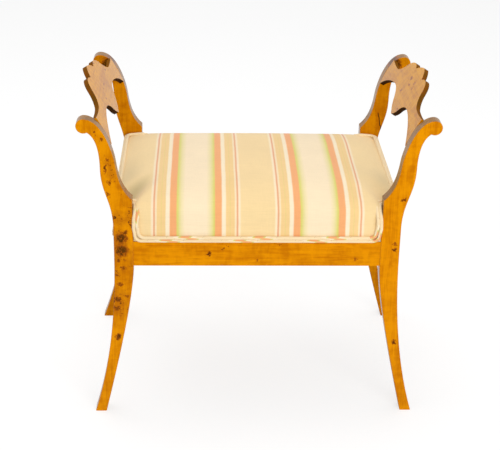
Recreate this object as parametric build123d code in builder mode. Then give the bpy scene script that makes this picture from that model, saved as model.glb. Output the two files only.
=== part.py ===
"""Upholstered wooden stool with sabre legs, scrolled arm posts and lobed arm panels.

The stool stands on the plane Z = 0 with its front towards -Y. Its origin is on the floor, midway
between the four posts. All sizes are in millimetres.
"""

import math
import os

from build123d import *

os.makedirs("parts", exist_ok=True)

# Overall frame
frame_width = 537.0  # across the outer faces of the posts at the rails
frame_depth = 415.0  # front face of the front posts to back face of the rear posts
rail_bottom = 322.0  # floor to the underside of the rails

# Posts
post_width = 36.0  # across a post at the rails
post_thick = 26.0  # plank thickness
foot_width = 21.5  # across a foot at the floor
front_splay = 60.0  # how far a front foot stands out from the rails
rear_splay = 72.0  # how far a rear foot stands out from the rails
inner_knee = 251.0  # height that draws the inner sabre curve upright
outer_knee = 150.0  # height that draws the outer sabre curve upright
shoulder_rise = 135.0  # inner corner of a post above the underside of the rails
outer_shoulder_rise = 78.0  # straight outer edge of a post above the underside of the rails
waist_height = 528.0  # floor to the slim waist of the arm
waist_shift = 29.5  # how far the waist stands out from the rails
waist_width = 27.5  # across the waist
waist_lean = 0.125  # how far the inner edge leans out at the waist, for each millimetre of height
outer_waist_drop = 8.0  # outer edge's waist below the inner edge's
scroll_height = 600.0  # floor to the centre of the scroll
scroll_reach = 84.5  # how far the scroll's centre stands out from the rails
scroll_radius = 13.5
scroll_root = 243.0  # angle round the scroll where its underside leaves the neck, in degrees
post_ease = 1.2  # easing of the long edges of a post

# Handles that draw the curves of a post's arm
shoulder_pull = 0.66  # share of the waist's shift where the inner edge leaves the shoulder
shoulder_lift = 0.24  # share of the arm's rise there
waist_pull = 0.42  # share of the rise over which both edges run straight under the waist
outer_pull = 0.46  # share of the rise over which the outer edge runs straight above its shoulder
neck_pull = 15.0  # straight run of the inner edge above the waist
scroll_pull = 36.0  # straight run into the top of the scroll
root_pull = 14.0  # straight run out of the scroll's underside, across
root_drop = 8.0  # and down
underarm_pull = 36.0  # straight run of the outer edge above its waist

# Rails
rail_height = 50.0  # shown height of a rail
rail_thick = 22.0
rail_inset = 2.0  # rail face behind the post face
tack_rail_height = 12.0  # rebated part of a rail that takes the tacks
tenon_thick = 8.0
tenon_shoulder = 6.0  # rail above and below a tenon
end_tenon_length = 18.0  # tenons of the front and rear rails
side_tenon_length = 16.0  # tenons of the side rails
joint_gap = 0.15  # glue line round a tenon

# Arm panels: heights of the outline run along the leaning board, from its middle
panel_thick = 9.0
panel_bend = 285.0  # radius of the bent board's inner face
panel_lean = 32.5  # lean of the board at its middle, in degrees
panel_inset = 24.5  # middle of the inner face inside the scroll's centre
panel_rise = 4.0  # middle of the inner face above the scroll's centre
panel_crest = 55.0  # top of the middle lobe
panel_lobe_swell = 2.6
panel_notch = 39.5  # notches between the lobes
panel_notch_half = 35.0
panel_ear = 43.0  # tips of the outer lobes
panel_ear_half = 66.0
panel_ear_swell = 3.5
panel_slope = 29.5  # turn of the edge from the outer lobe to the cove
panel_slope_half = 86.0
panel_slope_swell = 2.0
panel_cove = 4.0  # coves between the outer lobes and the necks
panel_cove_half = 122.0
panel_cove_hollow = 4.4
panel_neck_top = 5.0  # top of the neck at a post
panel_neck_hollow = 1.7
panel_neck_bottom = 52.5  # bottom of the neck at a post, below the middle
panel_arch = 16.0  # tops of the arches, below the middle
panel_arch_half = 82.0
panel_arch_hollow = 6.5
panel_hip = 33.5  # turn of the edge from the arch to the pendant, below the middle
panel_hip_half = 34.0
panel_hip_hollow = 5.8
panel_drop = 55.0  # tip of the pendant, below the middle
panel_tip_rise = 3.3  # corners of the pendant's tip above it
panel_tip_half = 8.0
panel_tip_swell = 0.9
panel_pendant_swell = 1.8
panel_tenon_thick = 5.0
panel_tenon_height = 30.0
panel_tenon_length = 12.0

# Corner blocks and their screws
block_length = 60.0  # along the front or rear rail
block_width = 62.0  # along the side rail
block_height = 30.0
block_rise = 8.0  # block above the underside of the rails
screw_radius = 2.0
screw_head_radius = 4.0
screw_head_height = 2.5
screw_bite = 14.0  # screw thread in the rail
screw_place = 26.0  # screw from the post's faces

# Webbing and hessian
web_width = 50.0
web_thick = 1.5
web_gap = 0.1  # play between crossing strips
long_web_count = 3
long_web_pitch = 100.0
cross_web_count = 4
cross_web_pitch = 110.0
web_setback = 1.0  # ends of the strips behind the cover
hessian_thick = 1.0

# Seat cover and stuffing
cover_thick = 2.0
cover_gap = 0.4  # play round the cover
seat_height = 68.5  # front and back edges of the seat above the rails, at the middle
side_drop = 1.5  # side edges of the seat below the middle of its front and back edges
crown_swell = 19.5  # middle of the seat above its edges
crown_half = 90.0  # half the depth of the level middle of the seat
seat_fall = 1.0  # front edge above, and back edge below, the mean height of the edges
face_swell = 0.8  # how far the front and back of the cover swell over the tacked edge
edge_roll = 24.0  # radius of the front and back edges of the seat
edge_slope = 20.0  # slope of the seat where it meets a rolled edge, in degrees
side_inset = 1.5  # cover's side face behind the post's outer face
gusset_thick = 1.5
cut_past = 1.0  # how far a cutting form reaches past what it cuts

# Double welt
welt_radius = 2.8
welt_corner = 12.0
welt_rise = 56.0  # upright welts beside the posts, above the rails

# Tacks
tack_head_radius = 2.5
tack_head_height = 0.6
tack_radius = 0.8
tack_length = 9.0
tacks_per_web_end = 3
cover_tack_pitch = 55.0

# Places worked out from the sizes above
half_width = frame_width / 2
half_depth = frame_depth / 2
post_inner = half_width - post_width
post_back = half_depth - post_thick
rail_top = rail_bottom + rail_height
tack_rail_top = rail_top + tack_rail_height
end_rail_face = half_depth - rail_inset
side_rail_face = half_width - rail_inset
rebate = cover_thick + cover_gap
inner_inset = cover_thick + cover_gap
scroll_x = post_inner + scroll_reach
waist_x = post_inner + waist_shift
shoulder = rail_bottom + shoulder_rise
outer_shoulder = rail_bottom + outer_shoulder_rise
web_bed = tack_rail_top
hessian_bed = web_bed + 2 * web_thick + 2 * web_gap
hessian_top = hessian_bed + hessian_thick
middle_edge = rail_top + seat_height
side_edge = middle_edge - side_drop
cover_side = half_width - side_inset
cover_face = end_rail_face


def upright(y):
    """Plane that faces the front at the given depth, with X across and Z up."""
    return Plane(origin=(0, y, 0), x_dir=(1, 0, 0), z_dir=(0, -1, 0))


def save(piece, name):
    """Label a finished piece and write its file."""
    piece.part.label = name
    export_step(piece.part, f"parts/{name}.step")


# Places of the rails' tenons
end_tenon_y = end_rail_face - rail_thick / 2
side_tenon_x = side_rail_face - rail_thick / 2
tenon_height = rail_height - 2 * tenon_shoulder
tenon_z = rail_bottom + rail_height / 2

# Bend of the arm panels and place of their tenons
board_lean = math.radians(panel_lean)
panel_middle = Vector(scroll_x - panel_inset, scroll_height + panel_rise)
panel_centre = panel_middle + Vector(math.cos(board_lean), -math.sin(board_lean)) * panel_bend
panel_core_radius = panel_bend - panel_thick / 2
panel_tenon_lean = board_lean + math.asin((panel_neck_top - panel_neck_bottom) / 2 / panel_bend)
panel_tenon_x = panel_centre.X - panel_core_radius * math.cos(panel_tenon_lean)
panel_tenon_up = panel_centre.Y + panel_core_radius * math.sin(panel_tenon_lean)


def panel_tenon_sketch(play):
    """Section of a panel's tenon, square to the panel, with some play all round."""
    with Locations((panel_tenon_x, panel_tenon_up)):
        Rectangle(
            panel_tenon_thick + 2 * play,
            panel_tenon_height + 2 * play,
            rotation=-math.degrees(panel_tenon_lean),
        )


# Outline of a post above its foot
scroll_top = scroll_height + scroll_radius
root_angle = math.radians(scroll_root)
root_x = scroll_x + scroll_radius * math.cos(root_angle)
root_z = scroll_height + scroll_radius * math.sin(root_angle)
outer_waist = waist_x + waist_width
arm_rise = waist_height - shoulder
waist_run = waist_pull * arm_rise
outer_waist_height = waist_height - outer_waist_drop
outer_rise = outer_waist_height - outer_shoulder
sabre_top = rail_bottom + 0.5 * rail_height

# Posts: the right-hand one of each pair is drawn, the left-hand one is its mirror image
for place, end, splay in (("front", -1, front_splay), ("rear", 1, rear_splay)):
    near_face = -half_depth if end < 0 else post_back
    inner_foot = post_inner + splay
    outer_foot = inner_foot + foot_width
    with BuildPart() as post_right:
        with BuildSketch(upright(near_face)):
            with BuildLine():
                Bezier((inner_foot, 0), (post_inner, inner_knee), (post_inner, rail_bottom))
                Line((post_inner, rail_bottom), (post_inner, shoulder))
                Bezier(
                    (post_inner, shoulder),
                    (post_inner + shoulder_pull * waist_shift, shoulder + shoulder_lift * arm_rise),
                    (waist_x - waist_run * waist_lean, waist_height - waist_run),
                    (waist_x, waist_height),
                )
                Bezier(
                    (waist_x, waist_height),
                    (waist_x + neck_pull * waist_lean, waist_height + neck_pull),
                    (scroll_x - scroll_pull, scroll_top),
                    (scroll_x, scroll_top),
                )
                ThreePointArc(
                    (scroll_x, scroll_top),
                    (scroll_x + scroll_radius, scroll_height),
                    (root_x, root_z),
                )
                Bezier(
                    (root_x, root_z),
                    (root_x - root_pull, root_z - root_drop),
                    (outer_waist, outer_waist_height + underarm_pull),
                    (outer_waist, outer_waist_height),
                )
                Bezier(
                    (outer_waist, outer_waist_height),
                    (outer_waist, outer_waist_height - waist_pull * outer_rise),
                    (half_width, outer_shoulder + outer_pull * outer_rise),
                    (half_width, outer_shoulder),
                )
                Line((half_width, outer_shoulder), (half_width, sabre_top))
                Bezier((half_width, sabre_top), (half_width, outer_knee), (outer_foot, 0))
                Line((outer_foot, 0), (inner_foot, 0))
            make_face()
        extrude(amount=-post_thick)
        front_edges = post_right.faces().sort_by(Axis.Y)[0].edges()
        back_edges = post_right.faces().sort_by(Axis.Y)[-1].edges()
        chamfer((front_edges + back_edges).filter_by(lambda e: e.center().Z > 1), length=post_ease)
        with Locations((post_inner, end * end_tenon_y, tenon_z)):
            Box(
                2 * end_tenon_length + 2 * joint_gap,
                tenon_thick + 2 * joint_gap,
                tenon_height + 2 * joint_gap,
                mode=Mode.SUBTRACT,
            )
        with Locations((side_tenon_x, end * post_back, tenon_z)):
            Box(
                tenon_thick + 2 * joint_gap,
                2 * side_tenon_length + 2 * joint_gap,
                tenon_height + 2 * joint_gap,
                mode=Mode.SUBTRACT,
            )
        with BuildSketch(upright(end * post_back)):
            panel_tenon_sketch(joint_gap)
        extrude(amount=-end * (panel_tenon_length + joint_gap), mode=Mode.SUBTRACT)
    save(post_right, f"post_{place}_right")
    with BuildPart() as post_left:
        mirror(post_right.part, about=Plane.YZ)
    save(post_left, f"post_{place}_left")


# Arm panels: a bent board between two posts, sawn to a lobed outline square to its face
board_face = Plane(
    origin=(panel_middle.X, 0, panel_middle.Y),
    x_dir=(0, 1, 0),
    z_dir=(math.cos(board_lean), 0, -math.sin(board_lean)),
)
board_top = 120.0  # angle round the bend's centre to the uncut top of the board
board_sweep = 59.0  # angle from there to the uncut bottom
with BuildPart() as panel_right:
    with BuildSketch(upright(-post_back)):
        with BuildLine():
            CenterArc(panel_centre, panel_bend, board_top, board_sweep)
            CenterArc(panel_centre, panel_bend - panel_thick, board_top, board_sweep)
            for angle in (board_top, board_top + board_sweep):
                direction = Vector(math.cos(math.radians(angle)), math.sin(math.radians(angle)))
                Line(
                    panel_centre + direction * panel_bend,
                    panel_centre + direction * (panel_bend - panel_thick),
                )
        make_face()
    extrude(amount=-2 * post_back)
    with BuildSketch(board_face):
        with BuildLine():
            crest = (0, panel_crest)
            notch = (panel_notch_half, panel_notch)
            ear = (panel_ear_half, panel_ear)
            slope = (panel_slope_half, panel_slope)
            cove = (panel_cove_half, panel_cove)
            neck_top = (post_back, panel_neck_top)
            neck_bottom = (post_back, -panel_neck_bottom)
            arch = (panel_arch_half, -panel_arch)
            hip = (panel_hip_half, -panel_hip)
            tip_corner = (panel_tip_half, panel_tip_rise - panel_drop)
            tip = (0, -panel_drop)
            SagittaArc(crest, notch, panel_lobe_swell)
            SagittaArc(notch, ear, panel_ear_swell)
            SagittaArc(ear, slope, panel_slope_swell)
            SagittaArc(slope, cove, -panel_cove_hollow)
            SagittaArc(cove, neck_top, -panel_neck_hollow)
            Line(neck_top, neck_bottom)
            SagittaArc(neck_bottom, arch, -panel_arch_hollow)
            SagittaArc(arch, hip, -panel_hip_hollow)
            SagittaArc(hip, tip_corner, panel_pendant_swell)
            SagittaArc(tip_corner, tip, panel_tip_swell)
            mirror(about=Plane.YZ)
        make_face()
    extrude(amount=3 * panel_thick, both=True, mode=Mode.INTERSECT)
    for end in (-1, 1):
        with BuildSketch(upright(end * post_back)):
            panel_tenon_sketch(0)
        extrude(amount=-end * panel_tenon_length)
save(panel_right, "arm_panel_right")

with BuildPart() as panel_left:
    mirror(panel_right.part, about=Plane.YZ)
save(panel_left, "arm_panel_left")

# Screws of the corner blocks, one into each rail that a block joins
end_rail_back = end_rail_face - rail_thick
side_rail_back = side_rail_face - rail_thick
block_middle = rail_bottom + block_rise + block_height / 2
screw_stagger = 1.5 * screw_head_radius
screw_grip = 0.4 * block_length  # wood of the block under a screw's head
corners = [(side, end) for side in (-1, 1) for end in (-1, 1)]
screw_planes = []
for side, end in corners:
    end_place = (side * (post_inner - screw_place), end * end_rail_back, block_middle + screw_stagger)
    side_place = (side * side_rail_back, end * (post_back - screw_place), block_middle - screw_stagger)
    screw_planes.append(Plane(origin=end_place, x_dir=(1, 0, 0), z_dir=(0, end, 0)))
    screw_planes.append(Plane(origin=side_place, x_dir=(0, 1, 0), z_dir=(side, 0, 0)))

with BuildPart() as corner_screws:
    for plane in screw_planes:
        with BuildSketch(plane.offset(-screw_grip)):
            Circle(screw_radius)
        extrude(amount=screw_grip + screw_bite)
        with BuildSketch(plane.offset(-screw_grip - screw_head_height)):
            Circle(screw_head_radius)
        extrude(amount=screw_head_height)
save(corner_screws, "corner_screws")

# Places of the webbing and of its tacks on the rails
long_web_y = [(i - (long_web_count - 1) / 2) * long_web_pitch for i in range(long_web_count)]
cross_web_x = [(i - (cross_web_count - 1) / 2) * cross_web_pitch for i in range(cross_web_count)]
long_web_end = side_rail_face - rebate - web_setback
cross_web_end = end_rail_face - rebate - web_setback
tack_spread = web_width / (tacks_per_web_end + 1)
spread = [(i - (tacks_per_web_end - 1) / 2) * tack_spread for i in range(tacks_per_web_end)]
side_tack_x = (side_rail_back + side_rail_face - rebate) / 2
end_tack_y = (end_rail_back + end_rail_face - rebate) / 2
web_tack_places = [(end * side_tack_x, y + s) for end in (-1, 1) for y in long_web_y for s in spread]
web_tack_places += [(x + s, end * end_tack_y) for end in (-1, 1) for x in cross_web_x for s in spread]

with BuildPart() as webbing_tacks:
    with BuildSketch(Plane.XY.offset(web_bed + web_thick)):
        with Locations(*web_tack_places):
            RegularPolygon(tack_head_radius, 6)
    extrude(amount=tack_head_height)
    with BuildSketch(Plane.XY.offset(web_bed + web_thick - tack_length)):
        with Locations(*web_tack_places):
            RegularPolygon(tack_radius, 6)
    extrude(amount=tack_length)
save(webbing_tacks, "webbing_tacks")

# Tacks along the lower edge of the cover, under the welt
cover_bottom = rail_top + cover_gap
cover_tack_z = rail_top + tack_rail_height / 2
end_tack_count = int((2 * post_inner - web_width) / cover_tack_pitch) + 1
side_tack_count = int((2 * post_back - web_width) / cover_tack_pitch) + 1
end_tack_x = [(i - (end_tack_count - 1) / 2) * cover_tack_pitch for i in range(end_tack_count)]
side_tack_y = [(i - (side_tack_count - 1) / 2) * cover_tack_pitch for i in range(side_tack_count)]
gusset_face = cover_side - cover_gap

with BuildPart() as cover_tacks:
    for end in (-1, 1):
        end_plane = Plane(origin=(0, end * cover_face, cover_tack_z), x_dir=(1, 0, 0), z_dir=(0, end, 0))
        side_plane = Plane(origin=(end * gusset_face, 0, cover_tack_z), x_dir=(0, 1, 0), z_dir=(end, 0, 0))
        for plane, places in ((end_plane, end_tack_x), (side_plane, side_tack_y)):
            with BuildSketch(plane):
                with Locations(*[(place, 0) for place in places]):
                    RegularPolygon(tack_head_radius, 6)
            extrude(amount=tack_head_height)
            with BuildSketch(plane):
                with Locations(*[(place, 0) for place in places]):
                    RegularPolygon(tack_radius, 6)
            extrude(amount=-tack_length)
save(cover_tacks, "cover_tacks")

# Front and rear rails, tenoned into the posts
for place, end in (("front", -1), ("rear", 1)):
    with BuildPart() as end_rail:
        with Locations((0, end * (end_rail_face - rail_thick / 2), rail_bottom)):
            Box(2 * post_inner, rail_thick, rail_height, align=(Align.CENTER, Align.CENTER, Align.MIN))
        with Locations((0, end * (end_rail_face - (rail_thick + rebate) / 2), rail_top)):
            Box(
                2 * post_inner,
                rail_thick - rebate,
                tack_rail_height,
                align=(Align.CENTER, Align.CENTER, Align.MIN),
            )
        with Locations((0, end * end_tenon_y, tenon_z)):
            Box(2 * (post_inner + end_tenon_length), tenon_thick, tenon_height)
        add(corner_screws.part, mode=Mode.SUBTRACT)
        add(webbing_tacks.part, mode=Mode.SUBTRACT)
        add(cover_tacks.part, mode=Mode.SUBTRACT)
    save(end_rail, f"rail_{place}")

# Side rails, tenoned into the posts
for place, side in (("left", -1), ("right", 1)):
    with BuildPart() as side_rail:
        with Locations((side * (side_rail_face - rail_thick / 2), 0, rail_bottom)):
            Box(rail_thick, 2 * post_back, rail_height, align=(Align.CENTER, Align.CENTER, Align.MIN))
        with Locations((side * (side_rail_face - (rail_thick + rebate) / 2), 0, rail_top)):
            Box(
                rail_thick - rebate,
                2 * post_back,
                tack_rail_height,
                align=(Align.CENTER, Align.CENTER, Align.MIN),
            )
        with Locations((side * side_tenon_x, 0, tenon_z)):
            Box(tenon_thick, 2 * (post_back + side_tenon_length), tenon_height)
        add(corner_screws.part, mode=Mode.SUBTRACT)
        add(webbing_tacks.part, mode=Mode.SUBTRACT)
        add(cover_tacks.part, mode=Mode.SUBTRACT)
    save(side_rail, f"rail_{place}")

# Corner blocks, stepped round the posts
for side, end in corners:
    block_name = f"corner_block_{'front' if end < 0 else 'rear'}_{'left' if side < 0 else 'right'}"
    with BuildPart() as block:
        with BuildSketch(Plane.XY.offset(rail_bottom + block_rise)):
            with BuildLine():
                Polyline(
                    (side * (post_inner - block_length), end * end_rail_back),
                    (side * (post_inner - joint_gap), end * end_rail_back),
                    (side * (post_inner - joint_gap), end * (post_back - joint_gap)),
                    (side * side_rail_back, end * (post_back - joint_gap)),
                    (side * side_rail_back, end * (post_back - block_width)),
                    close=True,
                )
            make_face()
        extrude(amount=block_height)
        for plane in screw_planes:
            with BuildSketch(plane.offset(-screw_grip)):
                Circle(screw_head_radius + joint_gap)
            extrude(amount=-block_length, mode=Mode.SUBTRACT)
        add(corner_screws.part, mode=Mode.SUBTRACT)
    save(block, block_name)

# Webbing: straight strips along the seat, and strips across it that go over and under them
for number, y in enumerate(long_web_y, start=1):
    with BuildPart() as long_web:
        with Locations((0, y, web_bed)):
            Box(2 * long_web_end, web_width, web_thick, align=(Align.CENTER, Align.CENTER, Align.MIN))
        add(webbing_tacks.part, mode=Mode.SUBTRACT)
    save(long_web, f"webbing_long_{number}")

for number, x in enumerate(cross_web_x, start=1):
    under_side = [(-cross_web_end, web_bed), (-end_rail_back, web_bed)]
    for crossing, y in enumerate(long_web_y):
        over = (number + crossing) % 2 == 0
        level = web_bed + web_thick + web_gap if over else web_bed - web_thick - web_gap
        under_side += [(y - web_width / 2, level), (y + web_width / 2, level)]
    under_side += [(end_rail_back, web_bed), (cross_web_end, web_bed)]
    upper_side = [(y, z + web_thick) for y, z in reversed(under_side)]
    with BuildPart() as cross_web:
        with BuildSketch(Plane.YZ.offset(x - web_width / 2)):
            with BuildLine():
                Polyline(*under_side, *upper_side, close=True)
            make_face()
        extrude(amount=web_width)
        add(webbing_tacks.part, mode=Mode.SUBTRACT)
    save(cross_web, f"webbing_cross_{number}")

# Hessian over the webbing, cut out round the posts
with BuildPart() as hessian:
    with BuildSketch(Plane.XY.offset(hessian_bed)):
        Rectangle(2 * long_web_end, 2 * (post_back - cover_gap - inner_inset))
        Rectangle(2 * (post_inner - cover_gap - inner_inset), 2 * cross_web_end)
    extrude(amount=hessian_thick)
save(hessian, "hessian")

# Stations across the seat: share of the half width, and share of the seat's swell there
side_swell = 0.1
half_stations = ((0.5, 0.93), (0.86, 0.65), (1.0, side_swell))
left_stations = tuple((-share, rise) for share, rise in reversed(half_stations))
seat_stations = left_stations + ((0.0, 1.0),) + half_stations


def seat_form(inset, side_reach):
    """Crowned seat with rolled front and back, stepped round the posts."""
    bottom = cover_bottom
    slope = math.radians(edge_slope)
    half_turn = (slope + math.pi / 2) / 2
    with BuildPart() as seat:
        for share, rise in seat_stations:
            face = cover_face - inset
            edge = side_edge + rise * (middle_edge - side_edge) - inset
            front_top = edge + seat_fall
            back_top = edge - seat_fall
            top = edge + crown_swell * rise
            fill = face + face_swell * rise
            roll = edge_roll - inset
            back_foot = back_top - roll * math.cos(slope)
            front_foot = front_top - roll * math.cos(slope)
            roll_end = face - roll + roll * math.sin(slope)
            roll_middle = face - roll + roll * math.sin(half_turn)
            roll_rise = roll * math.cos(half_turn)
            shoulder_y = (roll_end + crown_half) / 2
            with BuildSketch(Plane.YZ.offset(share * side_reach)):
                with BuildLine():
                    Line((-face, bottom), (face, bottom))
                    ThreePointArc((face, bottom), (fill, (bottom + back_foot) / 2), (face, back_foot))
                    ThreePointArc(
                        (face, back_foot),
                        (roll_middle, back_foot + roll_rise),
                        (roll_end, back_top),
                    )
                    ThreePointArc(
                        (roll_end, back_top),
                        (shoulder_y, top - (top - back_top) / 4),
                        (crown_half, top),
                    )
                    Line((crown_half, top), (-crown_half, top))
                    ThreePointArc(
                        (-crown_half, top),
                        (-shoulder_y, top - (top - front_top) / 4),
                        (-roll_end, front_top),
                    )
                    ThreePointArc(
                        (-roll_end, front_top),
                        (-roll_middle, front_foot + roll_rise),
                        (-face, front_foot),
                    )
                    ThreePointArc((-face, front_foot), (-fill, (bottom + front_foot) / 2), (-face, bottom))
                make_face()
        loft()
        notch_x = post_inner - cover_gap - inset
        notch_y = post_back - cover_gap - inset
        for side, end in corners:
            with Locations((side * notch_x, end * notch_y, bottom - cut_past)):
                Box(
                    post_width * 2,
                    post_thick * 2,
                    2 * seat_height,
                    align=(
                        Align.MIN if side > 0 else Align.MAX,
                        Align.MIN if end > 0 else Align.MAX,
                        Align.MIN,
                    ),
                    mode=Mode.SUBTRACT,
                )
    return seat.part


with BuildPart() as seat_cover:
    add(seat_form(0, cover_side))
    add(seat_form(cover_thick, cover_side + cut_past), mode=Mode.SUBTRACT)
    with BuildSketch(Plane.XY.offset(rail_top)):
        Rectangle(2 * half_width, 2 * (cover_face - cover_thick))
    extrude(amount=tack_rail_height + cover_gap, mode=Mode.SUBTRACT)
    add(cover_tacks.part, mode=Mode.SUBTRACT)
save(seat_cover, "seat_cover")

for place, side in (("left", -1), ("right", 1)):
    with BuildPart() as gusset:
        add(seat_form(inner_inset, cover_side + cut_past))
        with Locations((side * (gusset_face - gusset_thick / 2), 0, rail_bottom)):
            Box(
                gusset_thick,
                2 * (post_back - cover_gap),
                rail_height + 2 * seat_height,
                align=(Align.CENTER, Align.CENTER, Align.MIN),
                mode=Mode.INTERSECT,
            )
        add(cover_tacks.part, mode=Mode.SUBTRACT)
    save(gusset, f"side_gusset_{place}")

with BuildPart() as stuffing:
    add(seat_form(inner_inset, gusset_face - gusset_thick - cover_gap))
    split(bisect_by=Plane.XY.offset(hessian_top + cover_gap), keep=Keep.TOP)
save(stuffing, "stuffing")

# Double welts along the front and back of the cover
welt_pitch = 1.85 * welt_radius
welt_y = cover_face + tack_head_height + welt_radius
welt_end = rail_top + welt_rise
for place, end in (("front", -1), ("rear", 1)):
    with BuildPart() as welt:
        for row in (0, 1):
            welt_x = post_inner - cover_gap - welt_radius - row * welt_pitch
            welt_z = rail_top + welt_radius + row * welt_pitch
            with BuildLine(upright(end * welt_y)) as run:
                FilletPolyline(
                    (-welt_x, welt_end),
                    (-welt_x, welt_z),
                    (welt_x, welt_z),
                    (welt_x, welt_end),
                    radius=welt_corner + (1 - row) * welt_pitch,
                )
            with BuildSketch(Plane(origin=run.line @ 0, z_dir=run.line % 0)):
                Circle(welt_radius)
            sweep(path=run.line)
    save(welt, f"welt_{place}")

# Double welts of the sides: along the top edges, which fall towards the back, and along the rails
side_welt_x = cover_side + welt_radius
low_welt_x = gusset_face + tack_head_height + welt_radius
side_welt_z = side_edge + side_swell * side_drop - welt_radius
side_welt_y = post_back - cover_gap
for place, side in (("left", -1), ("right", 1)):
    with BuildPart() as side_welt:
        for row in (0, 1):
            top_z = side_welt_z - row * welt_pitch
            low_z = rail_top + welt_radius + row * welt_pitch
            runs = (
                (side * side_welt_x, top_z + seat_fall, top_z - seat_fall),
                (side * low_welt_x, low_z, low_z),
            )
            for run_x, front_z, back_z in runs:
                with BuildLine() as run:
                    Line((run_x, -side_welt_y, front_z), (run_x, side_welt_y, back_z))
                with BuildSketch(upright(-side_welt_y)):
                    with Locations((run_x, front_z)):
                        Circle(welt_radius)
                sweep(path=run.line)
    save(side_welt, f"welt_{place}")
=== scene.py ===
"""Looks of an upholstered window stool, laid out as an add-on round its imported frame.

Sizes are in metres, in the frame's own axes: X across the seat, -Y to the front, Z up.
"""

import math

import bmesh
import bpy
import numpy as np
from bpy.props import FloatProperty, FloatVectorProperty, IntProperty, PointerProperty
from mathutils import Matrix, Vector


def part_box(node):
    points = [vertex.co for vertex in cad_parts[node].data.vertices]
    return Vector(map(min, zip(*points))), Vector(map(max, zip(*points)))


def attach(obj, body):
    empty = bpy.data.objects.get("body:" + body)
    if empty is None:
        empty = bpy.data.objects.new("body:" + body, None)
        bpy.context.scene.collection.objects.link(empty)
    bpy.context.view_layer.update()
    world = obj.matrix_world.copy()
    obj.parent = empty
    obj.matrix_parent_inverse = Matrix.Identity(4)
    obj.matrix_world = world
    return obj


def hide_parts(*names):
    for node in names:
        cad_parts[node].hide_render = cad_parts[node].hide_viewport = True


bl_info = {
    "name": "Window Stool",
    "version": (1, 0, 0),
    "blender": (4, 5, 0),
    "location": "3D View > Sidebar > Stool",
    "description": "Dresses the frame of an upholstered window stool",
    "category": "Object",
}

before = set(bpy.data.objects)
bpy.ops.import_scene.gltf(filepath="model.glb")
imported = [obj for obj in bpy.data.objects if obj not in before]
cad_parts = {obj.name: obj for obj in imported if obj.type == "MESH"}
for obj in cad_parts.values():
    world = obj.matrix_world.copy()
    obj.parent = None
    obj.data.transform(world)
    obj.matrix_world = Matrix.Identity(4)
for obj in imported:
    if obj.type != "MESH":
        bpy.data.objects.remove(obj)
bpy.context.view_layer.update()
BODY = "root"

# Places read from the frame
POST_LOW, POST_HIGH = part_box("post_front_right")
COVER_LOW, COVER_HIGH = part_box("seat_cover")
GUSSET_LOW, GUSSET_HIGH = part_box("side_gusset_right")
WELT_LOW, WELT_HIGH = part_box("welt_right")
POST_INNER = POST_LOW.x
POST_BACK = -POST_HIGH.y
COVER_SIDE = COVER_HIGH.x
COVER_FACE = COVER_HIGH.y
COVER_BOTTOM = COVER_LOW.z
WELT_RADIUS = (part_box("welt_front")[1].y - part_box("welt_front")[0].y) / 2

BLOCKS = [f"corner_block_{end}_{side}" for end in ("front", "rear") for side in ("left", "right")]
LONG_WEBS = [f"webbing_long_{number}" for number in (1, 2, 3)]
CROSS_WEBS = [f"webbing_cross_{number}" for number in (1, 2, 3, 4)]

# Axis of the bend of the right arm panel: X and Z
PANEL_BEND = (0.5329, 0.4509)

# Dark marks of the wood: place across and Z of the middle, half width, half height, darkness
POST_LEFT_MARKS = (
    (-0.280, 0.520, 0.0026, 0.0085, 0.80),
    (-0.272, 0.493, 0.0048, 0.0042, 0.75),
    (-0.277, 0.470, 0.0025, 0.0040, 0.60),
    (-0.254, 0.380, 0.0110, 0.0110, 1.00),
    (-0.254, 0.354, 0.0110, 0.0125, 1.00),
    (-0.247, 0.391, 0.0050, 0.0050, 0.75),
    (-0.261, 0.335, 0.0040, 0.0045, 0.70),
    (-0.252, 0.318, 0.0050, 0.0040, 0.65),
    (-0.258, 0.283, 0.0070, 0.0035, 0.65),
    (-0.264, 0.251, 0.0068, 0.0055, 0.85),
    (-0.267, 0.232, 0.0062, 0.0044, 0.75),
    (-0.265, 0.169, 0.0050, 0.0062, 1.00),
)
POST_RIGHT_MARKS = (
    (0.270, 0.459, 0.0052, 0.0037, 0.85),
    (0.259, 0.356, 0.0047, 0.0042, 0.85),
    (0.259, 0.368, 0.0037, 0.0032, 0.55),
    (0.271, 0.157, 0.0036, 0.0052, 0.95),
)
RAIL_MARKS = (
    (-0.090, 0.347, 0.0038, 0.0038, 1.00),
    (-0.064, 0.356, 0.0023, 0.0029, 0.70),
    (0.041, 0.366, 0.0030, 0.0023, 0.85),
    (0.000, 0.334, 0.0030, 0.0040, 0.40),
    (0.186, 0.337, 0.0040, 0.0040, 0.40),
)
PANEL_RIGHT_MARKS = (
    (0.016, 0.623, 0.0075, 0.0026, 0.60),
    (-0.018, 0.624, 0.0050, 0.0022, 0.50),
    (0.001, 0.614, 0.0085, 0.0022, 0.55),
    (-0.027, 0.616, 0.0050, 0.0020, 0.50),
)
PANEL_LEFT_MARKS = (
    (0.010, 0.608, 0.0100, 0.0030, 0.40),
    (-0.014, 0.607, 0.0060, 0.0022, 0.30),
)
# Painted shadow under the rear scrolls, between each scroll and its arm panel, in the same columns as the
# marks above
REAR_SHADOW_MARKS = (
    (-0.2990, 0.5940, 0.0115, 0.0125, 1.80),
    (0.2980, 0.5970, 0.0115, 0.0125, 1.80),
)

# Ends of the crack in the rear right post: X and Z
CRACK_TOP = (0.2685, 0.493)
CRACK_BOTTOM = (0.2777, 0.448)
# Distances from its line at which the crack ends and is darkest
CRACK_WIDTH = (0.0017, 0.0005)

# Heights between which the front left post has burr
BURR = (0.20, 0.54)

# Figure of the birch: pitch across and along the grain
STREAKS = (0.0050, 0.075)
CLOUDS = (0.028, 0.085)
FLAME = (0.026, 0.012)
FLECKS = (0.011, 0.019)

# Shares of the streaks, the clouds and the flame in the tone of the birch
FIGURE_SHARES = (0.34, 0.40, 0.26)
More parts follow.
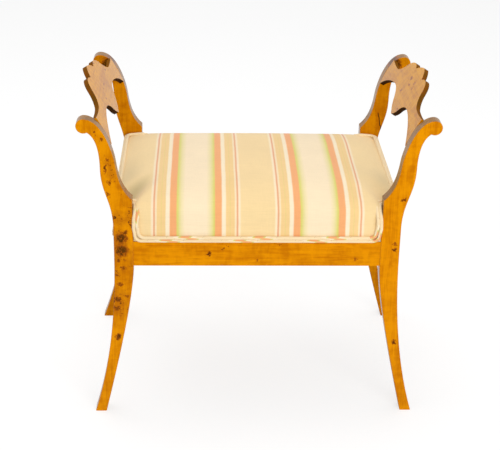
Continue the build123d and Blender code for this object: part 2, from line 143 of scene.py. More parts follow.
# Tone at which the birch is all amber and all honey
TONE = (0.36, 0.60)
# How far the roughness of the polish varies
POLISH_RANGE = 0.12

# Dark and light grain of a post's side faces as shares of their colour, and how much of it shows; that
# darker colour is partly sawn wood and partly painted shade
EDGE_SHADES = (0.62, 1.45)
EDGE_SHARE = 0.85

# Tint of the rear posts, a painted shade for the weaker light at the rear, and tint of the wood of the arm
# panels
REAR_FALLOFF_SHADE = (0.84, 0.82, 0.84)
PANEL_SHADE = (0.95, 1.15, 1.0)

# Depth of the relief of the grain, of the pine and of the cotton
GRAIN_RELIEF = 0.00010
PINE_RELIEF = 0.0003
COTTON_RELIEF = 0.00025

# Colours of the metals
STEEL = (0.42, 0.41, 0.39)
IRON = (0.09, 0.09, 0.10)
RUST = (0.12, 0.045, 0.015)

# Painted shade in the pulls and along the sides of the cover: X and Y of the middle, turn in degrees, half
# length, half width, share
PULL_SHADE = (
    (-0.234, -0.134, 63.0, 0.080, 0.026, 0.72),
    (-0.250, -0.080, 84.0, 0.120, 0.034, 0.22),
    (0.252, -0.085, 98.0, 0.085, 0.036, 0.24),
)

# Pitch of the cotton's slubs and threads on each axis, and how far its stripes waver
SLUBS = (0.030, 0.0016, 0.0016)
THREADS = (0.0009, 0.020, 0.020)
WAVER = 0.0016

# Pitch of the threads and depth of the relief of the jute cloths
WEBBING_WEAVE = (0.0022, 0.0006)
HESSIAN_WEAVE = (0.0016, 0.0004)

# Thickness of the cloths
SKIRT_CLOTH = 0.0008
GUSSET_CLOTH = 0.0012
STRAP_CLOTH = 0.0014
HESSIAN_CLOTH = 0.0008

# Points on the two runs of a cloth's mesh; the heights of a skirt come from its outline
SKIRT_POINTS = 94
GUSSET_POINTS = (73, 17)
STRAP_POINTS = (121, 9)
HESSIAN_POINTS = (61, 47)

# Columns of the seat before the remesh: width, and clearance to the frame
SEAT_STEP = 0.0025
SEAT_CLEAR = 0.0015

# Rounds of smoothing before and after the seat is blown up
RELAX_BEFORE = 6
RELAX_AFTER = 2

# How much of its swell the seat loses at the sides, and the power by which it loses it
SIDE_LOSS = 0.9
SIDE_POWER = 5

# Reach of the held cloth above the base, round the posts and at the sides
HELD_BASE = 0.006
HELD_POST = 0.006
HELD_SIDE = 0.009

# Pulls of the cover beside the front posts: side, and share of the dent
PULLS = ((-1, 1.0), (1, 0.45))
# Ends of a pull: distance past the inside of a post and behind its back
PULL_START = (0.010, 0.022)
PULL_END = (-0.034, 0.106)
PULL_WIDTH = 0.019
# The ridge in front of a pull: share of the dent, distance and width
RIDGE = (0.30, 0.026, 0.012)
# Margin at the cover's sides that isn't pulled, and the width over which a pull grows beside it
PULL_MARGIN = 0.004
PULL_GROWTH = 0.020
# How far below the side edges the cover is still pulled
PULL_DEPTH = 0.012

# Lower edge of the cover: height above its bottom, and depth behind its face
SKIRT = (
    (0.0004, 0.0012),
    (0.006, 0.0010),
    (0.012, 0.0008),
    (0.018, 0.0008),
    (0.024, 0.0010),
    (0.030, 0.0016),
    (0.036, 0.0028),
    (0.040, 0.0042),
)
SKIRT_CLEAR = 0.001

# Gusset: drop of its top at the front and further at the rear, inset of its face and its belly
GUSSET_DROP = 0.004
GUSSET_FALL = 0.002
GUSSET_INSET = 0.0008
GUSSET_BELLY = 0.0022

# Welt: pitch of the cords in radii, clearance to the posts and depth in the cover
CORD_PITCH = 1.85
CORD_CLEAR = 0.0004
CORD_SINK = 0.0008
# How far the inner cord lies in and up from the outer one at the sides, and lift of both at the rear
CORD_INSET = 0.0042
CORD_RISE = 0.0036
REAR_LIFT = 0.0042
# Radius of the cords against that of the CAD solids
CORD_SWELL = 1.18
# Depths behind the cover's face at which the welt's coloured patches begin and are full
PATCH_ENDS = (0.012, 0.004)

# Rise and fall of a cross strap over and under the long ones, and steepness between them
STRAP_WAVE = 0.0017
STRAP_STEEP = 1.6
# Run of its wave past the outer long straps and length over which it fades, in pitches of the straps
STRAP_RUN = 0.6
STRAP_FADE = 0.35

# Hessian: clearance to the posts, depth of its sag and waves of the sag on X and Y
HESSIAN_CLEAR = 0.003
HESSIAN_SAG = 0.0004
HESSIAN_WAVES = (57.0, 63.0)

# Lamps: place, point that is lit, and size
KEY_LAMP = ((0.9, -2.9, 1.7), (0, 0, 0.35), 2.2)
TOP_LAMP = ((-0.4, 0.7, 2.9), (0, 0, 0.4), 2.4)

FLOOR_HALF = 9.0
# Width of the camera's sensor in millimetres
SENSOR = 36.0


def colour_setting(name, description, default):
    """A colour that a user may change."""
    return FloatVectorProperty(
        name=name, description=description, subtype="COLOR", default=default, min=0, max=1
    )


def length_setting(name, description, default, least=0.0):
    """A length that a user may change."""
    return FloatProperty(name=name, description=description, unit="LENGTH", default=default, min=least)


def angle_setting(name, description, degrees):
    """An angle that a user may change."""
    return FloatProperty(
        name=name, description=description, subtype="ANGLE", default=math.radians(degrees)
    )


def number_setting(name, description, default, least=0.0):
    """A plain number that a user may change."""
    return FloatProperty(name=name, description=description, default=default, min=least)


def share_setting(name, description, default):
    """A share from 0 to 1 that a user may change."""
    return FloatProperty(
        name=name, description=description, subtype="FACTOR", default=default, min=0, max=1
    )


def count_setting(name, description, default, least):
    """A whole number that a user may change."""
    return IntProperty(name=name, description=description, default=default, min=least)


class WoodSettings(bpy.types.PropertyGroup):
    """Colours and polish of the wood."""

    honey: colour_setting("Honey", "Light colour of the birch between its streaks", (0.755, 0.272, 0.0010))
    amber: colour_setting("Amber", "Dark colour of the birch in its streaks", (0.535, 0.157, 0.0005))
    mark: colour_setting("Marks", "Colour of knots and flecks", (0.075, 0.020, 0.003))
    # Colour of the side faces of the posts: partly sawn wood, partly painted shade
    sawn_side_shade: colour_setting("Plank edge", "Colour of the sawn edges of the posts", (0.170, 0.080, 0.011))
    halo: colour_setting("Halo", "Red brown round the knots and flecks", (0.33, 0.075, 0.004))
    end_grain: colour_setting("End grain", "Colour of the arm panels' sawn edges", (0.150, 0.060, 0.006))
    # Painted shade on the panel edges that look down
    underside_shade: colour_setting("Underside", "Colour of panel edges that look down", (0.035, 0.012, 0.002))
    pine: colour_setting("Pine", "Colour of the bare corner blocks", (0.56, 0.36, 0.17))
    roughness: share_setting("Polish roughness", "Roughness of the shellac polish", 0.24)
    reflection: colour_setting("Reflection", "Tint of what the polish mirrors square on", (1.0, 0.50, 0.0))


class ClothSettings(bpy.types.PropertyGroup):
    """Colours of the striped cover and of the cloths under it."""

    ground: colour_setting("Ground", "Buff ground between the stripe groups", (0.91, 0.680, 0.350))
    pale: colour_setting("Pale band", "Broad pale band in the middle of a group", (0.95, 0.780, 0.530))
    leaf: colour_setting("Leaf line", "Yellow green line beside the pale band", (0.72, 0.66, 0.17))
    salmon: colour_setting("Salmon stripe", "Salmon stripe", (0.90, 0.415, 0.170))
    cream: colour_setting("Cream line", "Cream white line beside the salmon stripe", (0.95, 0.810, 0.570))
    tan: colour_setting("Tan stripe", "Golden tan stripe", (0.89, 0.62, 0.275))
    line: colour_setting("Red line", "Thin red line at the edge of a stripe group", (0.82, 0.40, 0.22))
    # Grey green of the painted shade in the pulls of the cover
    painted_shade: colour_setting("Soil", "Grey green of the soil in the pulls of the cover", (0.42, 0.34, 0.17))
    jute: colour_setting("Jute", "Colour of the webbing", (0.36, 0.24, 0.11))
    hessian: colour_setting("Hessian", "Colour of the hessian", (0.42, 0.28, 0.13))
    group_middle: length_setting("Group middle", "Middle of a stripe group from that of the seat", 0.1155)
    patch_pitch: length_setting("Patch pitch", "Welt from one coloured patch to the next", 0.138, 0.01)
    patch_shift: length_setting("Patch shift", "Shift of the patches along the welt", -0.015, -1.0)


class SeatSettings(bpy.types.PropertyGroup):
    """Shape of the stuffed seat before and after it is blown up."""

    side_rise: length_setting("Side edge", "Height of the side edges of the seat", 0.4390)
    middle_rise: length_setting("Middle edge", "Height of the front and back edges at the middle", 0.4405)
    crown: length_setting("Crown", "How far the middle of the seat stands above its edges", 0.0195)
    crown_half: length_setting("Level middle", "Half the depth of the level middle of the seat", 0.090)
    fall: length_setting("Fall", "How far the front edge is above, and the back below, their mean", 0.001)
    roll: length_setting("Edge roll", "Radius of the front and back edges", 0.024, 0.005)
    slope: angle_setting("Edge slope", "Slope of the seat where it meets a rolled edge", 20)
    base: length_setting("Base", "Height of the underside of the stuffing", 0.3887)
    voxel: length_setting("Voxel", "Mesh size of the cloth", 0.005, 0.003)
    pressure: number_setting("Pressure", "Pressure of the stuffing on the cloth", 4.0)
    steps: count_setting("Steps", "Frames of cloth simulation", 20, 1)
    reach: length_setting("Reach", "How far a point of the cloth may move", 0.006)
    dent: length_setting("Corner dent", "Depth of the pull at the front left corner", 0.016)


class WeltSettings(bpy.types.PropertyGroup):
    """The double welt round the main panel of the cover."""

    radius: length_setting("Cord radius", "Radius of each cord", CORD_SWELL * WELT_RADIUS, 0.001)
    corner: length_setting("Corner", "Radius of the welt's bends", 0.012)
    sides: count_setting("Sides", "Sides of each cord's section", 14, 6)
    step: length_setting("Step", "Length of each cord's segments", 0.003, 0.0005)


class StageSettings(bpy.types.PropertyGroup):
    """Camera, floor and lights."""

    camera_place: FloatVectorProperty(
        name="Camera",
        description="Place of the camera",
        subtype="TRANSLATION",
        unit="LENGTH",
        default=(-0.0996, -2.2923, 1.3713),
    )
    camera_yaw: angle_setting("Yaw", "Turn of the camera about the upright axis", -2.33)
    camera_pitch: angle_setting("Pitch", "Tilt of the camera below the horizon", 24.79)
    camera_roll: angle_setting("Roll", "Turn of the camera about its own axis", -1.12)
    lens: number_setting("Lens", "Focal length in millimetres", 88.99, 10)
    floor_colour: colour_setting("Floor", "Colour of the floor", (0.92, 0.92, 0.92))
    floor_glow: number_setting("Floor glow", "Brightness of the glow that lightens the floor", 1.15)
    glow_share: share_setting("Glow share", "Share of that glow in what is seen of the floor", 0.60)
    key_power: number_setting("Key light", "Power of the large lamp at the front, in watts", 51.0)
    top_power: number_setting("Top light", "Power of the lamp above, in watts", 31.0)
    sky: number_setting("Sky", "Strength of the even light from all sides", 0.55)


def node(tree, kind, values=None, **settings):
    """Add a node to a tree; values go to its inputs, by name or number, as links or numbers."""
    made = tree.nodes.new(kind)
    for key, value in settings.items():
        setattr(made, key, value)
    for key, value in (values or {}).items():
        if isinstance(value, bpy.types.NodeSocket):
            tree.links.new(value, made.inputs[key])
        else:
            made.inputs[key].default_value = value
    return made


def math_node(tree, operation, first, second=0.0, third=0.0, clamp=False):
    """The result of a sum on one, two or three numbers."""
    values = {0: first, 1: second, 2: third}
    return node(tree, "ShaderNodeMath", values, operation=operation, use_clamp=clamp).outputs[0]


def times(tree, first, second):
    """The product of two numbers."""
    return math_node(tree, "MULTIPLY", first, second)


def times_plus(tree, first, second, third):
    """The product of two numbers, plus a third."""
    return math_node(tree, "MULTIPLY_ADD", first, second, third)


def larger(tree, first, second):
    """The larger of two numbers."""
    return math_node(tree, "MAXIMUM", first, second)


def unsigned(tree, value):
    """A number without its sign."""
    return math_node(tree, "ABSOLUTE", value)


def vector_node(tree, operation, *vectors):
    """The result of a sum on vectors, which is a number for a length and a dot product."""
    made = node(tree, "ShaderNodeVectorMath", dict(enumerate(vectors)), operation=operation)
    return made.outputs["Value" if operation in ("LENGTH", "DOT_PRODUCT") else "Vector"]


def axes(tree, vector):
    """The X, Y and Z of a vector."""
    return node(tree, "ShaderNodeSeparateXYZ", {"Vector": vector}).outputs


def facing(tree):
    """The direction in which a face looks."""
    return node(tree, "ShaderNodeNewGeometry").outputs["True Normal"]


def mix_colour(tree, amount, first, second):
    """A mix of two colours, each a link or three numbers."""
    sockets = {0: amount}
    for key, colour in ((6, first), (7, second)):
        sockets[key] = colour if isinstance(colour, bpy.types.NodeSocket) else (*colour, 1.0)
    return node(tree, "ShaderNodeMix", sockets, data_type="RGBA").outputs[2]


def fade(tree, value, start, end):
    """A smooth step from 0 at start to 1 at end."""
    values = {"Value": value, "From Min": start, "From Max": end}
    made = node(tree, "ShaderNodeMapRange", values, interpolation_type="SMOOTHSTEP")
    return made.outputs["Result"]


def scaled(tree, place, pitch):
    """Coordinates divided by a pitch in metres for each axis."""
    scale = [1 / size for size in pitch]
    return node(tree, "ShaderNodeMapping", {"Vector": place, "Scale": scale}).outputs["Vector"]


def noise(tree, place, pitch, detail=3.0, distortion=0.0):
    """Noise with the given pitch in metres on each axis."""
    cells = scaled(tree, place, pitch)
    values = {"Vector": cells, "Scale": 1.0, "Detail": detail, "Distortion": distortion}
    return node(tree, "ShaderNodeTexNoise", values).outputs["Fac"]


def along_grain(axis, across, along):
    """Pitch of a figure that is stretched along the grain."""
    return [along if letter == axis else across for letter in "XYZ"]


def blend(first, second, share):
    """A colour between two others."""
    return tuple(a + (b - a) * share for a, b in zip(first, second))


def shaded(colour, share):
    """A colour made darker or lighter."""
    return tuple(share * part for part in colour)


def new_material(name):
    """A new material with its tree, its shader and its object coordinates."""
    material = bpy.data.materials.new(name)
    material.use_nodes = True
    tree = material.node_tree
    shader = tree.nodes["Principled BSDF"]
    place = node(tree, "ShaderNodeTexCoord").outputs["Object"]
    return material, tree, shader, place


def link(tree, source, shader, name):
    """Link a result to an input of the shader."""
    tree.links.new(source, shader.inputs[name])


def set_shader(shader, values):
    """Set inputs of the shader, by their names."""
    for name, value in values.items():
        shader.inputs[name].default_value = value


def bump(tree, shader, height, depth, strength=1.0):
    """Relief of the given depth in metres."""
    values = {"Strength": strength, "Distance": depth, "Height": height}
    link(tree, node(tree, "ShaderNodeBump", values).outputs["Normal"], shader, "Normal")


def warp(tree, place, scale, amount):
    """Places shifted by noise, so that what is drawn there loses its even outline."""
    wobble = node(tree, "ShaderNodeTexNoise", {"Vector": place, "Scale": scale, "Detail": 3.0})
    shift = vector_node(tree, "SUBTRACT", wobble.outputs["Color"], (0.5, 0.5, 0.5))
    return vector_node(tree, "MULTIPLY_ADD", shift, (amount, amount, amount), place)


def wood_marks(tree, place, marks, across):
    """Mask of the knots at their places on the face of a piece, whose width runs along an axis."""
    warped = warp(tree, place, 190.0, 0.014)
    grit = fade(tree, noise(tree, place, (0.0024, 0.0024, 0.0030)), 0.28, 0.58)
    grit = times_plus(tree, grit, 0.7, 0.3)
    total = 0.0
    for middle, z, half_width, half_height, darkness in marks:
        scale = (1 / half_width, 0, 1 / half_height)
        if across == "Y":
            scale = (0, 1 / half_width, 1 / half_height)
        values = {
            "Vector": warped,
            "Location": (-middle * scale[0], -middle * scale[1], -z * scale[2]),
            "Scale": scale,
        }
        offset = node(tree, "ShaderNodeMapping", values).outputs["Vector"]
        reach = vector_node(tree, "LENGTH", offset)
        total = larger(tree, total, times(tree, fade(tree, reach, 1.55, 0.30), darkness))
    return times(tree, total, grit)


def crack_mask(tree, place):
    """Mask of the slanting crack in the rear right post."""
    parts = axes(tree, warp(tree, place, 90.0, 0.004))
    lean = (CRACK_TOP[0] - CRACK_BOTTOM[0]) / (CRACK_TOP[1] - CRACK_BOTTOM[1])
    line = times_plus(tree, parts["Z"], lean, CRACK_TOP[0] - lean * CRACK_TOP[1])
    gap = unsigned(tree, math_node(tree, "SUBTRACT", parts["X"], line))
    above = fade(tree, parts["Z"], CRACK_BOTTOM[1] - 0.004, CRACK_BOTTOM[1] + 0.006)
    below = fade(tree, parts["Z"], CRACK_TOP[1] + 0.002, CRACK_TOP[1] - 0.004)
    return times(tree, fade(tree, gap, *CRACK_WIDTH), times(tree, above, below))


def fleck_mask(tree, place, axis, share):
    """Mask of small burr flecks over a share of the wood."""
    cells = scaled(tree, warp(tree, place, 160.0, 0.012), along_grain(axis, *FLECKS))
    voronoi = node(tree, "ShaderNodeTexVoronoi", {"Vector": cells, "Scale": 1.0})
    spot = fade(tree, voronoi.outputs["Distance"], 0.34, 0.16)
    chance = node(tree, "ShaderNodeSeparateColor", {"Color": voronoi.outputs["Color"]}).outputs[0]
    return times(tree, spot, math_node(tree, "LESS_THAN", chance, share))


def burr_mask(tree, place, low, high):
    """Masks of the smears and specks of burr between two heights, and of the wood round them."""
    smears = noise(tree, place, (0.0075, 0.0075, 0.0060), 4.0, 0.7)
    specks = noise(tree, place, (0.0026, 0.0026, 0.0034), 2.0, 0.3)
    crowd = fade(tree, noise(tree, place, (0.024, 0.024, 0.030), 2.0), 0.40, 0.62)
    dark = larger(tree, fade(tree, smears, 0.57, 0.70), fade(tree, specks, 0.66, 0.74))
    height = axes(tree, place)["Z"]
    rise = fade(tree, height, low - 0.02, low + 0.03)
    drop = fade(tree, height, high + 0.02, high - 0.03)
    dense = times(tree, times(tree, rise, drop), crowd)
    return times(tree, dark, dense), dense


def birch(
    name, axis, wood, flecks, marks=(), across="X", burr=None, crack=False, plank=False, shade=(1, 1, 1)
):
    """Polished honey birch with its grain along an axis, with knots and flecks."""
    material, tree, shader, place = new_material(name)
    streaks = noise(tree, place, along_grain(axis, *STREAKS), 5.0, 0.9)
    clouds = noise(tree, place, along_grain(axis, *CLOUDS), 3.0, 0.8)
    flame = noise(tree, place, along_grain(axis, *FLAME), 3.0, 0.6)
    streak_share, cloud_share, flame_share = FIGURE_SHARES
    figure = times_plus(tree, streaks, streak_share, times(tree, clouds, cloud_share))
    figure = times_plus(tree, flame, flame_share, figure)
    tone = fade(tree, figure, *TONE)
    amber, honey = (np.array(colour) * shade for colour in (wood.amber, wood.honey))
    colour = mix_colour(tree, tone, amber, honey)
    if plank:
        # Faces that don't look along Y are darkened: partly sawn wood, partly painted shade
        sawn = fade(tree, unsigned(tree, axes(tree, facing(tree))["Y"]), 0.75, 0.35)
        dark, light = (shaded(wood.sawn_side_shade, share) for share in EDGE_SHADES)
        edge = mix_colour(tree, tone, dark, light)
        colour = mix_colour(tree, times(tree, sawn, EDGE_SHARE), colour, edge)
    spots = times(tree, fleck_mask(tree, place, axis, flecks), 0.55)
    if burr is not None:
        smear, crowd = burr_mask(tree, place, *burr)
        colour = mix_colour(tree, times(tree, crowd, 0.45), colour, wood.halo)
        spots = larger(tree, spots, smear)
    if crack:
        spots = larger(tree, spots, crack_mask(tree, place))
    # Marks are knots, and on the rear posts a painted shadow under the scrolls
    if marks:
        spots = larger(tree, spots, wood_marks(tree, place, marks, across))
    halo = mix_colour(tree, fade(tree, spots, 0.0, 0.45), colour, wood.halo)
    link(tree, mix_colour(tree, fade(tree, spots, 0.30, 0.95), halo, wood.mark), shader, "Base Color")
    gloss = times_plus(tree, clouds, POLISH_RANGE, wood.roughness - POLISH_RANGE / 2)
    link(tree, gloss, shader, "Roughness")
    bump(tree, shader, streaks, GRAIN_RELIEF)
    set_shader(shader, {"IOR": 1.42, "Specular Tint": (*wood.reflection, 1.0)})
    return material


def panel_birch(name, wood, side, marks):
    """Birch of the arm panel on one side, dark and dull on its sawn edges, with painted shade on the edges
    that look down and a painted highlight on those that look up.
    """
    material = birch(name, "Y", wood, 0.03, marks, across="Y", shade=PANEL_SHADE)
    tree = material.node_tree
    shader = tree.nodes["Principled BSDF"]
    place = tree.nodes["Texture Coordinate"].outputs["Object"]
    outward = facing(tree)
    spoke = vector_node(tree, "SUBTRACT", place, (side * PANEL_BEND[0], 0, PANEL_BEND[1]))
    spoke = vector_node(tree, "NORMALIZE", vector_node(tree, "MULTIPLY", spoke, (1, 0, 1)))
    square = vector_node(tree, "DOT_PRODUCT", spoke, outward)
    parts = axes(tree, outward)
    side_on = fade(tree, unsigned(tree, parts["Y"]), 0.99, 0.96)
    sawn = times(tree, fade(tree, unsigned(tree, square), 0.80, 0.45), side_on)
    patches = fade(tree, noise(tree, place, (0.03, 0.03, 0.03)), 0.35, 0.65)
    brown = mix_colour(tree, times(tree, patches, 0.5), wood.end_grain, wood.halo)
    # Sawn edges that look down get a painted shade, the others the brown of the end grain
    edge = mix_colour(tree, fade(tree, parts["Z"], -0.30, 0.35), wood.underside_shade, brown)
    # Sawn edges that look up get a painted highlight, lighter than the end grain
    lit_top_edge = blend(wood.end_grain, wood.amber, 0.15)
    edge = mix_colour(tree, fade(tree, parts["Z"], 0.72, 0.82), edge, lit_top_edge)
    colour = shader.inputs["Base Color"].links[0].from_socket
    gloss = shader.inputs["Roughness"].links[0].from_socket
    link(tree, mix_colour(tree, sawn, colour, edge), shader, "Base Color")
    link(tree, times_plus(tree, sawn, 0.45, gloss), shader, "Roughness")
    link(tree, times_plus(tree, sawn, -0.45, 0.5), shader, "Specular IOR Level")
    return material


def bare_pine(name, wood):
    """Bare sawn pine with clear year rings."""
    material, tree, shader, place = new_material(name)
    rings = noise(tree, place, (0.010, 0.010, 0.004), 2.0, 1.5)
    fibres = noise(tree, place, (0.05, 0.05, 0.0012))
    tone = times_plus(tree, rings, 0.7, times(tree, fibres, 0.3))
    colour = mix_colour(tree, fade(tree, tone, 0.35, 0.65), shaded(wood.pine, 0.62), wood.pine)
    link(tree, colour, shader, "Base Color")
    set_shader(shader, {"Roughness": 0.75})
    bump(tree, shader, fibres, PINE_RELIEF)
    return material


def metal(name, colour, roughness, speck):
    """Dull metal with specks of rust."""
    material, tree, shader, place = new_material(name)
    rust = fade(tree, noise(tree, place, (0.003, 0.003, 0.003), 4.0), 0.50, 0.68)
    link(tree, mix_colour(tree, times(tree, rust, speck), colour, RUST), shader, "Base Color")
    link(tree, times_plus(tree, rust, 0.3, roughness), shader, "Roughness")
    set_shader(shader, {"Metallic": 1.0})
    return material


def colour_ramp(tree, distance, bands):
    """Colour by a distance, from bands with a start, an end and a colour, blended between them."""
    span = bands[-1][1]
    stops = [(place, colour) for start, end, colour in bands for place in sorted({start, end})]
    share = math_node(tree, "DIVIDE", distance, span, clamp=True)
    ramp = node(tree, "ShaderNodeValToRGB", {"Fac": share})
    elements = ramp.color_ramp.elements
    elements[0].color = (*stops[0][1], 1.0)
    elements[1].color = (*stops[-1][1], 1.0)
    for place, colour in stops[1:-1]:
        elements.new(place / span).color = (*colour, 1.0)
    return ramp.outputs["Color"]


def stripe_ramp(tree, cloth, distance):
    """Colour of the stripes by the distance from the middle of their group."""
    bands = (
        (0.0000, 0.0200, cloth.pale),
        (0.0265, 0.0265, blend(cloth.pale, cloth.leaf, 0.35)),
        (0.0310, 0.0310, blend(cloth.pale, cloth.leaf, 0.70)),
        (0.0335, 0.0348, cloth.leaf),
        (0.0366, 0.0475, cloth.salmon),
        (0.0495, 0.0552, cloth.cream),
        (0.0570, 0.0628, cloth.tan),
        (0.0640, 0.0640, blend(cloth.tan, cloth.leaf, 0.35)),
        (0.0652, 0.0716, cloth.tan),
        (0.0734, 0.0752, blend(cloth.tan, cloth.cream, 0.7)),
        (0.0766, 0.0784, cloth.line),
        (0.0798, 0.0820, cloth.pale),
        (0.0845, 0.0900, cloth.ground),
    )
    return colour_ramp(tree, distance, bands)


def pull_shaded(tree, place, colour, cloth):
    """A cloth's colour with painted shade in the pulls beside the posts and along its sides."""
    for x, y, turn, half_length, half_width, share in PULL_SHADE:
        values = {
            "Vector": place,
            "Location": (x, y, 0.0),
            "Rotation": (0.0, 0.0, math.radians(turn)),
            "Scale": (half_length, half_width, 10.0),
        }
        offset = node(tree, "ShaderNodeMapping", values, vector_type="TEXTURE").outputs["Vector"]
        amount = times(tree, fade(tree, vector_node(tree, "LENGTH", offset), 1.0, 0.0), share)
        colour = mix_colour(tree, amount, colour, cloth.painted_shade)
    return colour


def weave(tree, shader, place, colour):
    """Finish a shader as plain woven cotton of a colour, with slubs and threads."""
    slubs = noise(tree, place, SLUBS)
    threads = noise(tree, place, THREADS, 2.0)
    wear = noise(tree, place, (0.09, 0.09, 0.09))
    tone = times_plus(tree, slubs, 0.10, 0.90)
    tone = times_plus(tree, threads, 0.08, tone)
    tone = times_plus(tree, wear, 0.10, math_node(tree, "SUBTRACT", tone, 0.09))
    toned = node(tree, "ShaderNodeVectorMath", {0: colour, 3: tone}, operation="SCALE").outputs[0]
    link(tree, toned, shader, "Base Color")
    bump(tree, shader, math_node(tree, "ADD", slubs, threads), COTTON_RELIEF, 0.6)
    set_shader(shader, {"Roughness": 0.88, "Specular IOR Level": 0.25})
    set_shader(shader, {"Sheen Weight": 0.22, "Sheen Roughness": 0.5})


def striped_cotton(name, cloth, coordinate="X"):
    """Woven cotton with stripes across one axis, in a pair of groups about the middle."""
    material, tree, shader, place = new_material(name)
    across = math_node(tree, "ADD", axes(tree, place)[coordinate], -WAVER / 2)
    across = times_plus(tree, noise(tree, place, (0.05, 0.05, 0.05), 2.0), WAVER, across)
    half = math_node(tree, "SUBTRACT", unsigned(tree, across), cloth.group_middle)
    colour = stripe_ramp(tree, cloth, unsigned(tree, half))
    if coordinate == "X":
        # Painted shade in the pulls and along the sides of the seat's top
        colour = pull_shaded(tree, place, colour, cloth)
    weave(tree, shader, place, colour)
    return material


def welt_cotton(name, cloth):
    """The striped cotton cut on the bias, by the length along a cord and the turn round it."""
    material, tree, shader, place = new_material(name)
    along = node(tree, "ShaderNodeAttribute", attribute_name="along").outputs["Fac"]
    around = node(tree, "ShaderNodeAttribute", attribute_name="around").outputs["Fac"]
    slant = times_plus(tree, around, 2 * math.pi * WELT_RADIUS, along)
    shifted = math_node(tree, "ADD", slant, cloth.patch_shift)
    folded = math_node(tree, "PINGPONG", shifted, cloth.patch_pitch / 2)
    buff = blend(cloth.ground, cloth.pale, 0.5)
    bands = (
        (0.0000, 0.0075, cloth.salmon),
        (0.0090, 0.0110, cloth.leaf),
        (0.0130, 0.0190, cloth.cream),
        (0.0230, 0.0331, buff),
        (0.0337, 0.0337, blend(buff, cloth.jute, 0.6)),
        (0.0343, 0.0700, buff),
    )
    depth = unsigned(tree, axes(tree, place)["Y"])
    ends = fade(tree, depth, *(COVER_FACE - end for end in PATCH_ENDS))
    weave(tree, shader, place, mix_colour(tree, ends, buff, colour_ramp(tree, folded, bands)))
    return material


def plain_weave(name, colour, thread, relief):
    """Coarse jute cloth with visible threads both ways."""
    material, tree, shader, place = new_material(name)
    parts = axes(tree, place)
    ribs = []
    for axis in ("X", "Y"):
        turns = times(tree, parts[axis], math.pi / thread)
        ribs.append(unsigned(tree, math_node(tree, "SINE", turns)))
    yarn = noise(tree, place, (thread * 1.5, thread * 1.5, thread * 1.5))
    tone = times_plus(tree, yarn, 0.5, times(tree, times(tree, *ribs), 0.5))
    threads = mix_colour(tree, fade(tree, tone, 0.15, 0.70), shaded(colour, 0.45), colour)
    link(tree, threads, shader, "Base Color")
    set_shader(shader, {"Roughness": 0.9})
    bump(tree, shader, tone, relief)
    return material


def dress(names, material):
    """Put one material on CAD nodes."""
    for name in names:
        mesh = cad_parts[name].data
        mesh.materials.clear()
        mesh.materials.append(material)


def new_object(name, data):
    """A new object at the origin that holds a mesh, a curve, a lamp or a camera."""
    made = bpy.data.objects.new(name, data)
    bpy.context.scene.collection.objects.link(made)
    return made


def grid_mesh(name, *parts):
    """A mesh of four-sided faces over a grid of points, from grids of their X, Y and Z."""
    rows, columns = parts[0].shape
    index = np.arange(rows * columns).reshape(rows, columns)
    corners = (index[:-1, :-1], index[:-1, 1:], index[1:, 1:], index[1:, :-1])
    faces = np.stack([corner.ravel() for corner in corners], axis=1)
    mesh = bpy.data.meshes.new(name)
    mesh.from_pydata(np.stack(parts, axis=-1).reshape(-1, 3).tolist(), [], faces.tolist())
    return mesh


def baked(name, source):
    """A plain mesh of an object as its modifiers leave it; the object goes."""
    graph = bpy.context.evaluated_depsgraph_get()
    mesh = bpy.data.meshes.new_from_object(source.evaluated_get(graph))
    mesh.name = name
    old = source.data
    bpy.data.objects.remove(source)
    if isinstance(old, bpy.types.Curve):
        bpy.data.curves.remove(old)
    return new_object(name, mesh)


class STOOL_OT_show_wood(bpy.types.Operator):
    """Finish the posts, rails and arm panels in polished birch"""

    bl_idname = "stool.show_wood"
    bl_label = "Show wood"

    def execute(self, context):
        wood = context.scene.stool_wood
        burr = birch("birch_burr", "Z", wood, 0.05, POST_LEFT_MARKS, burr=BURR, plank=True)
        front = birch("birch_front", "Z", wood, 0.006, POST_RIGHT_MARKS, plank=True)
        # The rear posts' tint is a painted shade for the weaker light at the rear
        rear = birch("birch_rear", "Z", wood, 0.02, REAR_SHADOW_MARKS, crack=True, plank=True, shade=REAR_FALLOFF_SHADE)
        dress(["post_front_left"], burr)
        dress(["post_front_right"], front)
        dress(["post_rear_left", "post_rear_right"], rear)
        dress(["rail_front", "rail_rear"], birch("birch_rail", "X", wood, 0.02, RAIL_MARKS))
        dress(["rail_left", "rail_right"], birch("birch_side_rail", "Y", wood, 0.02))
        dress(["arm_panel_left"], panel_birch("birch_panel_left", wood, -1, PANEL_LEFT_MARKS))
        dress(["arm_panel_right"], panel_birch("birch_panel_right", wood, 1, PANEL_RIGHT_MARKS))
        return {"FINISHED"}


class STOOL_OT_hidden_frame(bpy.types.Operator):
    """Finish the corner blocks, screws and tacks"""

    bl_idname = "stool.hidden_frame"
    bl_label = "Hidden frame"

    def execute(self, context):
        dress(BLOCKS, bare_pine("bare_pine", context.scene.stool_wood))
        dress(["corner_screws"], metal("screw_steel", STEEL, 0.35, 0.6))
        dress(["cover_tacks", "webbing_tacks"], metal("tack_iron", IRON, 0.45, 0.4))
        return {"FINISHED"}


